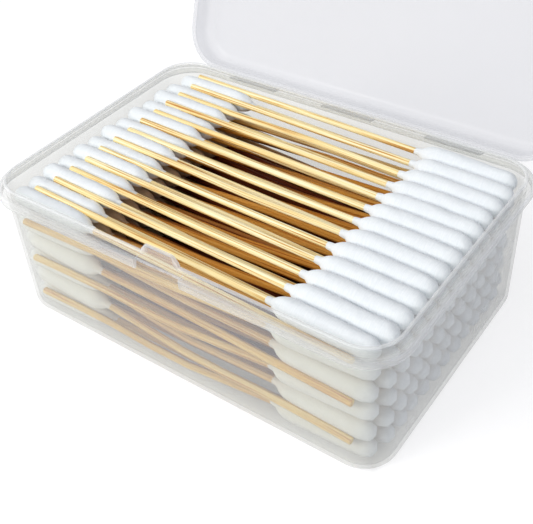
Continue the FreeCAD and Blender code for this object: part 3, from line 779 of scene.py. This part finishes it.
def lid_profile():
    """Profile from the inside of the panel down the wall, round the rim and up again, the same
    with a strap drawn out, a mask of the points that the finger pull draws down, and the edge
    glow, strongest round the rim."""
    inside = [
        (0, [(CORE, LID_PANEL)]),
        (0, arc((LID_INSIDE - LID_INNER_ROUND, LID_PANEL - LID_INNER_ROUND),
                LID_INNER_ROUND, 90, 0, 9)),
        (0, run((LID_INSIDE, 9), (LID_INSIDE, 5), 3)),
        (0.4, arc((LID_INSIDE + SMALL, LID_RIM + SMALL), SMALL, 180, 270, 4)),
        (0.4, [(PULL_INSIDE - 0.02, LID_RIM)]),
    ]
    lower = np.concatenate([
        arc((PULL_INSIDE + SMALL, LID_RIM + SMALL), SMALL, 180, 270, 4),
        arc((REACH - SMALL, LID_RIM + SMALL), SMALL, 270, 360, 4),
    ])
    lower[:, 1] = np.where(lower[:, 0] < PULL_INSIDE + SMALL, LID_RIM, lower[:, 1])
    face = run((REACH, LID_RIM + SMALL), (REACH, LID_RIM + FLANGE_WALL - SMALL), 14)
    half = STRAP_WALL / 2
    strap = np.concatenate([
        [(REACH, LID_RIM), (FOLD - half - 0.2, LID_RIM), (FOLD - half, LID_RIM - 0.2)],
        arc((FOLD, 0), FOLD_RADIUS, 149, 391, 7),
        arc((FOLD + half - 0.5, LID_RIM + STRAP_WALL - 0.5), 0.5, 0, 90, 3),
        [(REACH, LID_RIM + STRAP_WALL)],
    ])
    outside = [
        (0.6, arc((REACH - SMALL, LID_RIM + FLANGE_WALL - SMALL), SMALL, 0, 90, 4)),
        (0, arc((LID_OUTSIDE + SMALL, LID_RIM + FLANGE_WALL + SMALL), SMALL, 270, 180, 4)),
        (0, run((LID_OUTSIDE, 6), (LID_OUTSIDE, 10), 3)),
        (0, arc((LID_OUTSIDE - LID_ROUND, LID_TOP - LID_ROUND), LID_ROUND, 0, 90, 9)),
        (0, [(CORE, LID_TOP)]),
    ]
    plain, glow = joined(*inside, (0.7, lower), (0.1, face), *outside)
    strapped, _ = joined(*inside, (0.7, lower), (0.1, strap), *outside)
    first = sum(len(points) for _, points in inside)
    place = np.arange(len(plain))
    drawn = (place >= first) & (place < first + len(lower))
    return plain, strapped, drawn, glow


def lid_points():
    """The carried profile with straps and pull, turned about the hinge line: y becomes
    y cos a + z sin a and z becomes z cos a - y sin a, both counted from that line."""
    plain, strapped, drawn, glow = lid_profile()
    offsets, heights, edges = with_straps(plain, strapped, glow)
    places = [PULL_HALF - 1.2, PULL_HALF - 0.5, PULL_HALF - 0.1, PULL_HALF]
    pull = np.interp(np.abs(path[:, 0]), places, [1, 0.95, 0.78, 0]) * at_front
    heights = heights - pull[:, None] * drawn * PULL_DEPTH
    shut = carry(offsets, heights)
    y = shut[..., 1] - HINGE_Y * MM
    z = shut[..., 2]
    opened = shut.copy()
    opened[..., 1] = HINGE_Y * MM + y * math.cos(LID_ANGLE) + z * math.sin(LID_ANGLE)
    opened[..., 2] = HINGE_Z * MM + z * math.cos(LID_ANGLE) - y * math.sin(LID_ANGLE)
    pull_side = (np.abs(np.abs(path[:, 0]) - PULL_HALF) < 0.5) * at_front * SIDE_GLOW
    edges = np.maximum(edges, pull_side[:, None] * drawn)
    return opened, edges


lid = shell("lid_shell", *lid_points(), shaded_lid_polypropylene, "lid", ["box_lid"])
print("lid faces", len(lid.data.polygons))

# %% [markdown]
# ## Where each swab lies
#
# The frame already holds all 156 sticks, thirteen to a row. Reading them back keeps the looks
# where the construction is. Corners that share an edge belong to one stick, so the smallest
# corner number is passed along the edges until nothing changes, and each number that is left
# stands for one stick. Its two ends are the middles of its farthest corners.
#
# A real pile is softer than rigid sticks allow. The top heads at the left bulge up between the
# sticks that press on them, and the lower layers have settled at the right.

# %% Read the sticks from the frame
HEAD_INSET = 5.0            # mm from the cotton tip to the stick inside it
HEAD_BULGE = 1.3            # mm, the top heads at the left
SETTLE = 2.4                # mm, the lowest layer at its right-hand end
LAYERS = sum("sticks_left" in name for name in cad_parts)


def corner_groups(mesh):
    """Merged corner places, and for each the number of the stick it belongs to."""
    places = np.empty(len(mesh.vertices) * 3)
    mesh.vertices.foreach_get("co", places)
    places = places.reshape(-1, 3)
    _, keep, same = np.unique(np.round(places / MM, 3), axis=0,
                              return_index=True, return_inverse=True)
    edges = np.empty(len(mesh.edges) * 2, int)
    mesh.edges.foreach_get("vertices", edges)
    start, end = same.ravel()[edges].reshape(-1, 2).T
    group = np.arange(len(keep))
    while True:
        lowest = group.copy()
        np.minimum.at(lowest, start, group[end])
        np.minimum.at(lowest, end, group[start])
        lowest = lowest[lowest]
        if np.array_equal(lowest, group):
            return places[keep], np.unique(group, return_inverse=True)[1].ravel()
        group = lowest


def how_low(layer):
    """1 for the lowest layer, a quarter less with every layer up, and never below 0."""
    return max(0.0, 1 - (layer - 1) / 4)


def tipped(axes, rise):
    """Every swab of a row turned about its bare end until its cotton tip is higher by the
    rise, so that its stick stays in its neck."""
    turned = axes.copy()
    turned[:, 0, 2] += rise
    return turned


def swab_axes(node, side):
    """Cotton tip and bare end of each stick in a row, in mm, ordered from front to back."""
    places, group = corner_groups(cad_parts[node].data)
    axes = []
    for number in range(group.max() + 1):
        own = places[group == number] / MM
        along = own[:, 0] * side
        inner = own[along > along.max() - 1].mean(axis=0)
        bare = own[along < along.min() + 1].mean(axis=0)
        direction = (inner - bare) / np.linalg.norm(inner - bare)
        axes.append((inner + direction * HEAD_INSET, bare))
    axes.sort(key=lambda ends: ends[0][1] + ends[1][1])
    return np.array(axes)


ROWS = []
for layer in range(1, LAYERS + 1):
    for end, side in (("left", -1), ("right", 1)):
        axes = swab_axes(f"bamboo_sticks_{end}_{layer}", side)
        bulge = HEAD_BULGE if (end, layer) == ("left", LAYERS) else 0.0
        sunk = SETTLE * how_low(layer) if end == "right" else 0.0
        ROWS.append((end, layer, tipped(axes, bulge - sunk)))
print("rows", len(ROWS), "swabs", sum(len(axes) for _, _, axes in ROWS))

# %% [markdown]
# ## A round piece along a line
#
# Heads and sticks are both turned shapes: a radius that changes along the axis. The same
# function makes a whole row of them at once. Its numbers are the swab, the place along the
# axis and the angle round it.

# %% Turned pieces
def turned_row(starts, ends, profile, around, swell=None, bend=None):
    """Start plus direction times distance, plus radius times cosine along the side direction
    and radius times sine upwards. Swell scales the radius and bend moves the axis."""
    length = np.linalg.norm(ends - starts, axis=1)[:, None]
    direction = (ends - starts) / length
    sideways = np.cross([0.0, 0.0, 1.0], direction)
    sideways /= np.linalg.norm(sideways, axis=1)[:, None]
    upward = np.cross(direction, sideways)
    distance, radius = profile[:, 0], profile[:, 1]
    # The seam lies underneath, where it can't be seen
    angle = -math.pi / 2 + np.arange(around) * 2 * math.pi / around
    middle = starts[:, None] + direction[:, None] * distance[None, :, None]
    if bend is not None:
        middle = middle + bend
    wide = radius[None, :, None] * np.ones((len(starts), 1, around))
    if swell is not None:
        wide = wide * swell
    points = (middle[:, :, None]
              + sideways[:, None, None] * (wide * np.cos(angle))[..., None]
              + upward[:, None, None] * (wide * np.sin(angle))[..., None])
    return points * MM


def row_mesh(points, profile, pattern_start):
    """Faces and corner maps for a row: a map counts mm round the piece, and along it."""
    count, rings, around = points.shape[:3]
    quads = np.concatenate([grid_faces(rings, around, first=k * rings * around)
                            for k in range(count)])
    circle = 2 * math.pi * profile[:, 1].max()
    ring, column = np.meshgrid(np.arange(rings - 1), np.arange(around), indexing="ij")
    step = circle / around
    u = np.stack([column, column + 1, column + 1, column], axis=-1) * step
    here = profile[ring, 0]
    there = profile[ring + 1, 0]
    v = np.stack([here, here, there, there], axis=-1)
    one = np.stack([u, v], axis=-1).reshape(-1, 2)
    maps = (one[None] + pattern_start[:, None]).reshape(-1, 2)
    return quads, maps


# %% [markdown]
# ## Cotton heads
#
# A head is rolled, so it is round, but it is soft: its tip is a blunt dome, its belly swells a
# little and its inner end draws down to a thin neck where the last fibres grip the stick. The
# top heads are seen closely and get many faces and soft lumps. Those below are seen only
# through the frosted wall, and there are 130 of them, so 120 faces each have to do.

# %% Heads
HEAD_RADIUS = 4.1           # mm, as all sizes of the swabs
HEAD_LENGTH = 39.5
DOME_LENGTH = 4.4
DOME_RADIUS = 3.9
SHOULDER_START = 31.5
NECK_LENGTH = 2.5
NECK_RADIUS = 1.55
STICK_RADIUS = 1.25         # in the top layer, where the neck ends on it
# steps along a head and round it, and its lumps as a share of the radius
TOP_HEAD = (34, 36, 0.045)
LOWER_HEAD = (8, 12, 0.01)
# turns of a wave of lumps round the head, and its length along it in mm
WAVES = ((1, 31.0), (2, 17.0), (3, 11.0), (4, 7.0), (5, 23.0))
HEAD_PATTERN = 400          # mm of the pattern that the heads are spread over
rng = np.random.default_rng(156)


def head_profile(steps):
    """Distance from the tip and radius: a quarter circle stretched to a dome, a belly that
    swells as a sine, a shoulder that falls as a power of the distance, and a thin neck that
    ends on the stick."""
    angle = np.linspace(0, math.pi / 2, max(steps // 5, 3))
    dome = np.stack([DOME_LENGTH * (1 - np.cos(angle)), DOME_RADIUS * np.sin(angle)], axis=1)
    share = np.linspace(0, 1, max(steps // 3, 3))[1:]
    swell = (HEAD_RADIUS - DOME_RADIUS) * np.sin(share * math.pi / 2)
    belly = np.stack([DOME_LENGTH + share * (SHOULDER_START - DOME_LENGTH),
                      DOME_RADIUS + swell], axis=1)
    fall = np.linspace(0, 1, max(steps // 3, 4))[1:]
    shoulder = np.stack([SHOULDER_START + (HEAD_LENGTH - SHOULDER_START) * fall ** 0.75,
                         HEAD_RADIUS - (HEAD_RADIUS - NECK_RADIUS) * fall ** 1.9], axis=1)
    neck = np.array([(HEAD_LENGTH + NECK_LENGTH * 0.6, NECK_RADIUS * 0.93),
                     (HEAD_LENGTH + NECK_LENGTH, STICK_RADIUS + 0.02),
                     (HEAD_LENGTH + NECK_LENGTH, 0.0)])
    return np.concatenate([dome, belly, shoulder, neck])


def soft_lumps(count, profile, around, amount):
    """1 plus five slow waves for each head, with random places and weights: the sine of some
    turns round it times the sine of the distance over a wavelength in mm."""
    angle = np.arange(around) * 2 * math.pi / around
    lumps = np.ones((count, len(profile), around))
    for turns, length in WAVES:
        phase = rng.uniform(0, 2 * math.pi, (count, 2, 1, 1))
        weight = rng.uniform(0.3, 1, (count, 1, 1)) * amount / turns ** 0.5
        along = 2 * math.pi * profile[:, 0] / length
        lumps += weight * (np.sin(turns * angle + phase[:, 0])
                           * np.sin(along[:, None] + phase[:, 1]))
    return lumps


def make_heads(end, layer, axes):
    """One row of heads, fine in the top layer and plain below."""
    steps, around, lump = TOP_HEAD if layer == LAYERS else LOWER_HEAD
    profile = head_profile(steps)
    swell = soft_lumps(len(axes), profile, around, lump)
    points = turned_row(axes[:, 0], axes[:, 1], profile, around, swell)
    pattern_start = rng.uniform(0, HEAD_PATTERN, (len(axes), 2))
    quads, maps = row_mesh(points, profile, pattern_start)
    return make_piece(f"cotton_{end}_row_{layer}", points.reshape(-1, 3), quads, [], cotton,
                      "base", [f"cotton_heads_{end}_{layer}"], maps, crease=60)


heads = [make_heads(*row) for row in ROWS]
print("head faces", sum(len(head.data.polygons) for head in heads))

# %% [markdown]
# ## Bamboo sticks
#
# A drawn stick is nearly round, cut square with a slightly broken edge, and never quite
# straight. Each one gets a slow bend where it is free, between its own neck and the heads at
# the far end: up to half a millimetre in the top layer, and more below, where the swabs push
# each other about. The lowest sag to the floor, and their bare ends follow the heads that have
# settled on them. The sticks below the top are drawn a little thicker, as they look through
# the wall.

# %% Sticks
# radius and greatest bend in mm, steps along a stick and round it
TOP_STICK = (STICK_RADIUS, 0.6, 16, 16)
LOWER_STICK = (1.4, 1.6, 9, 8)
BEND_PARTS = np.array([0.0, 1.0, 0.8])      # of a bend, along X, Y and Z
LOWEST_SAG = 2.0            # mm
BROKEN_EDGE = 0.15
FREE_START = 34.0           # mm along the stick from its start inside the cotton
FREE_END = 122.0
STICK_PATTERN = 900         # mm of the pattern that the sticks are spread over


def stick_profile(length, radius, steps):
    """Flat end, broken edge, straight shank, broken edge, flat end."""
    shank = np.linspace(BROKEN_EDGE, length - BROKEN_EDGE, steps)
    straight = np.stack([shank, np.full(steps, radius)], axis=1)
    return np.concatenate([[(0, 0), (0, radius - BROKEN_EDGE)], straight,
                           [(length, radius - BROKEN_EDGE), (length, 0)]])


def slow_bend(count, profile, amount, sag, drop):
    """A smooth bow between the neck and the heads opposite, where the stick is free: sine
    squared of the share of that span, by a random amount sideways and upwards less the sag.
    The drop lowers the bare end, in proportion to the way from the neck."""
    share = np.clip((profile[:, 0] - FREE_START) / (FREE_END - FREE_START), 0, 1)
    wave = np.sin(share * math.pi)[None, :, None] ** 2
    pull = rng.uniform(-1, 1, (count, 1, 3)) * BEND_PARTS * amount - [0.0, 0.0, sag]
    lean = np.clip((profile[:, 0] - FREE_START) / (profile[-1, 0] - FREE_START), 0, 1)
    return wave * pull - lean[None, :, None] * [0.0, 0.0, drop]


def make_sticks(end, layer, axes):
    """One row of sticks, from inside the cotton to the bare end."""
    radius, amount, steps, around = TOP_STICK if layer == LAYERS else LOWER_STICK
    tips, bare = axes[:, 0], axes[:, 1]
    direction = bare - tips
    length = np.linalg.norm(direction, axis=1)[0]
    starts = tips + direction * (HEAD_INSET / length)
    profile = stick_profile(length - HEAD_INSET, radius, steps)
    drop = SETTLE * how_low(layer) if end == "left" else 0.0
    bend = slow_bend(len(axes), profile, amount, LOWEST_SAG * how_low(layer), drop)
    points = turned_row(starts, bare, profile, around, bend=bend)
    pattern_start = rng.uniform(0, STICK_PATTERN, (len(axes), 2))
    quads, maps = row_mesh(points, profile, pattern_start)
    return make_piece(f"bamboo_{end}_row_{layer}", points.reshape(-1, 3), quads, [], bamboo,
                      "base", [f"bamboo_sticks_{end}_{layer}"], maps, crease=35)


sticks = [make_sticks(*row) for row in ROWS]
print("stick faces", sum(len(stick.data.polygons) for stick in sticks))
